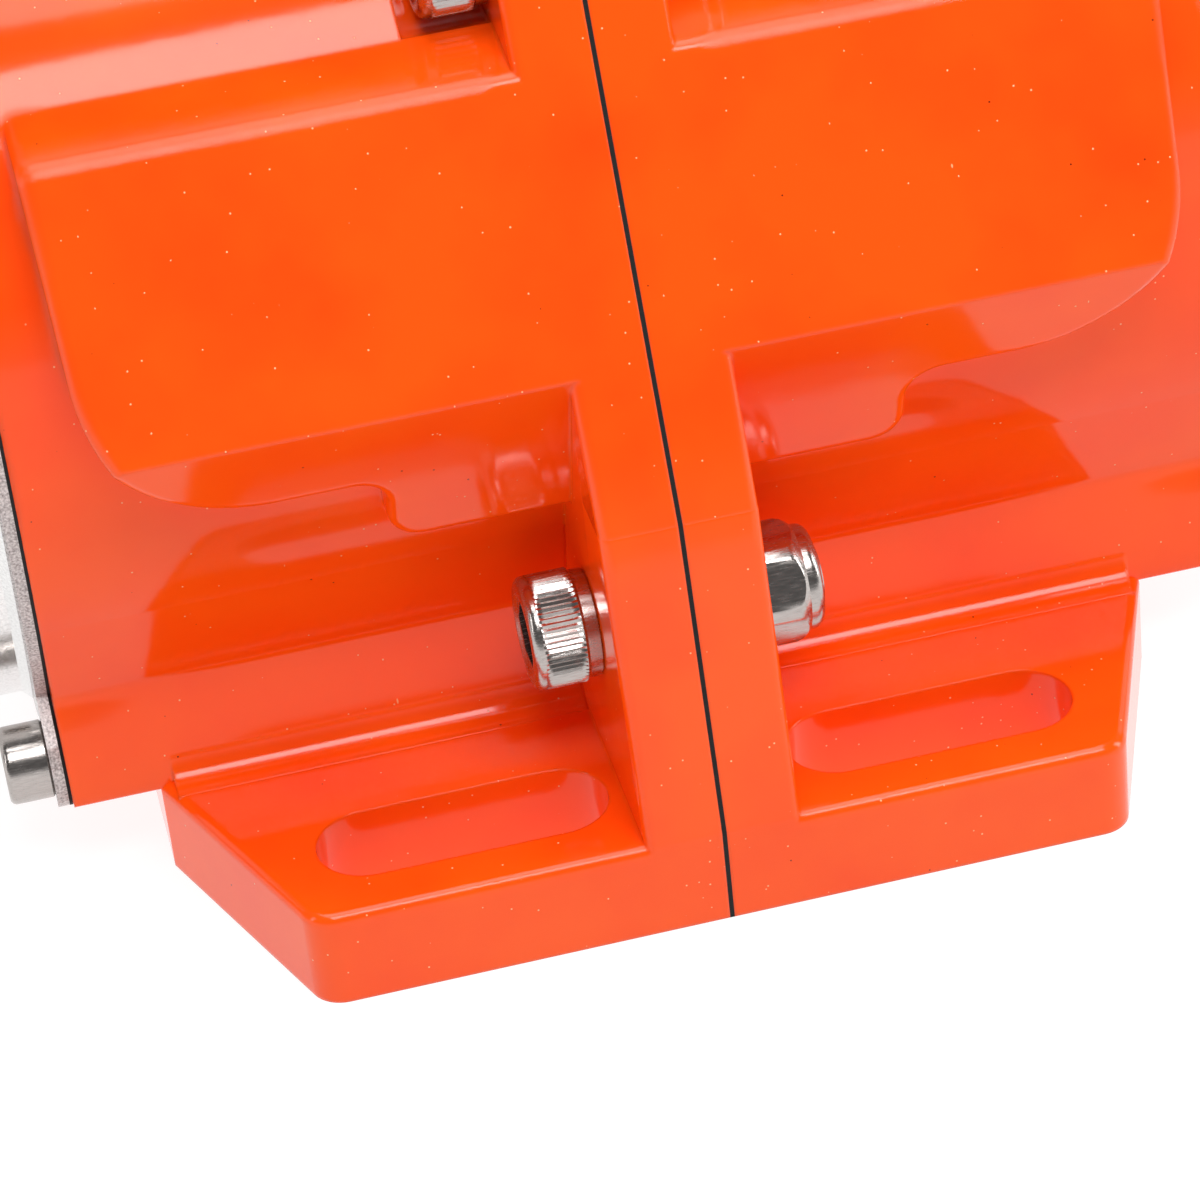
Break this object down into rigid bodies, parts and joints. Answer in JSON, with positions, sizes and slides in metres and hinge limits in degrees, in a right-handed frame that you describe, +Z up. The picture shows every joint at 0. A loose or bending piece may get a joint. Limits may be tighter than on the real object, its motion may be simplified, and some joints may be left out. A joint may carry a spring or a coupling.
{
  "type": "vibration motor",
  "caption": "Electric vibration motor in an orange casing split across the shaft, with slotted feet and sheet steel end covers.",
  "frame": {"origin": "centre of the foot pattern on the mounting face, under the split line", "axes": "+X along the shaft from the bolt-head side to the nut side, +Z up from the feet"},
  "size_m": [0.1704, 0.125, 0.0955],
  "materials": {
    "orange_paint": "gloss enamel on die-cast aluminium",
    "gasket_rubber": "black rubber sheet",
    "stainless_bolt": "bright stainless steel",
    "nylon": "nylon",
    "stator_steel": "stacked electrical steel",
    "winding_copper": "varnished copper wire",
    "cast_aluminium": "as cast",
    "shaft_steel": "ground steel",
    "cover_steel": "plain sheet steel, sheared edge",
    "bearing_steel": "ground bearing steel",
    "cage_brass": "machined brass",
    "weight_iron": "sawn steel plate",
    "gland_plastic": "black polyamide"
  },
  "bodies": {
    "casing": {"left_housing": "orange_paint", "right_housing": "orange_paint", "split_gasket": "gasket_rubber", "flange_bolts": "stainless_bolt", "lock_nuts": "stainless_bolt", "nut_inserts": "nylon", "stator_core": "stator_steel", "stator_winding": "winding_copper", "preload_washer": "shaft_steel", "gland_body": "gland_plastic", "gland_nut": "gland_plastic", "gland_seal": "gasket_rubber", "left_cover_seal": "gasket_rubber", "left_end_cover": "cover_steel", "left_cover_screws": "stainless_bolt", "left_outer_ring": "bearing_steel", "right_cover_seal": "gasket_rubber", "right_end_cover": "cover_steel", "right_cover_screws": "stainless_bolt", "right_outer_ring": "bearing_steel"},
    "rotor": {"shaft": "shaft_steel", "rotor_core": "stator_steel", "rotor_cage": "cast_aluminium", "left_inner_ring": "bearing_steel", "left_fixed_weight": "weight_iron", "left_fixed_screw": "shaft_steel", "left_weight_key": "shaft_steel", "left_circlip": "shaft_steel", "right_inner_ring": "bearing_steel", "right_fixed_weight": "weight_iron", "right_fixed_screw": "shaft_steel", "right_weight_key": "shaft_steel", "right_circlip": "shaft_steel"},
    "left_bearing_set": {"left_rollers": "bearing_steel", "left_roller_cage": "cage_brass"},
    "left_adjustable": {"left_adjustable_weight": "weight_iron", "left_adjustable_screw": "shaft_steel"},
    "right_bearing_set": {"right_rollers": "bearing_steel", "right_roller_cage": "cage_brass"},
    "right_adjustable": {"right_adjustable_weight": "weight_iron", "right_adjustable_screw": "shaft_steel"}
  },
  "joints": [
    {"name": "rotor_spin", "type": "hinge", "parent": "casing", "child": "rotor", "pos_m": [0, 0, 0.0445], "axis": [1, 0, 0], "continuous": true},
    {"name": "left_roller_orbit", "type": "hinge", "parent": "casing", "child": "left_bearing_set", "pos_m": [-0.0395, 0, 0.0445], "axis": [1, 0, 0], "continuous": true},
    {"name": "left_weight_setting", "type": "hinge", "parent": "rotor", "child": "left_adjustable", "pos_m": [-0.0685, 0, 0.0445], "axis": [-1, 0, 0], "range_deg": [0, 180]},
    {"name": "right_roller_orbit", "type": "hinge", "parent": "casing", "child": "right_bearing_set", "pos_m": [0.0395, 0, 0.0445], "axis": [1, 0, 0], "continuous": true},
    {"name": "right_weight_setting", "type": "hinge", "parent": "rotor", "child": "right_adjustable", "pos_m": [0.0685, 0, 0.0445], "axis": [1, 0, 0], "range_deg": [0, 180]}
  ],
  "couplings": [
    {"joint": "left_roller_orbit", "follows": "rotor_spin", "ratio": 0.3896},
    {"joint": "right_roller_orbit", "follows": "rotor_spin", "ratio": 0.3896}
  ]
}
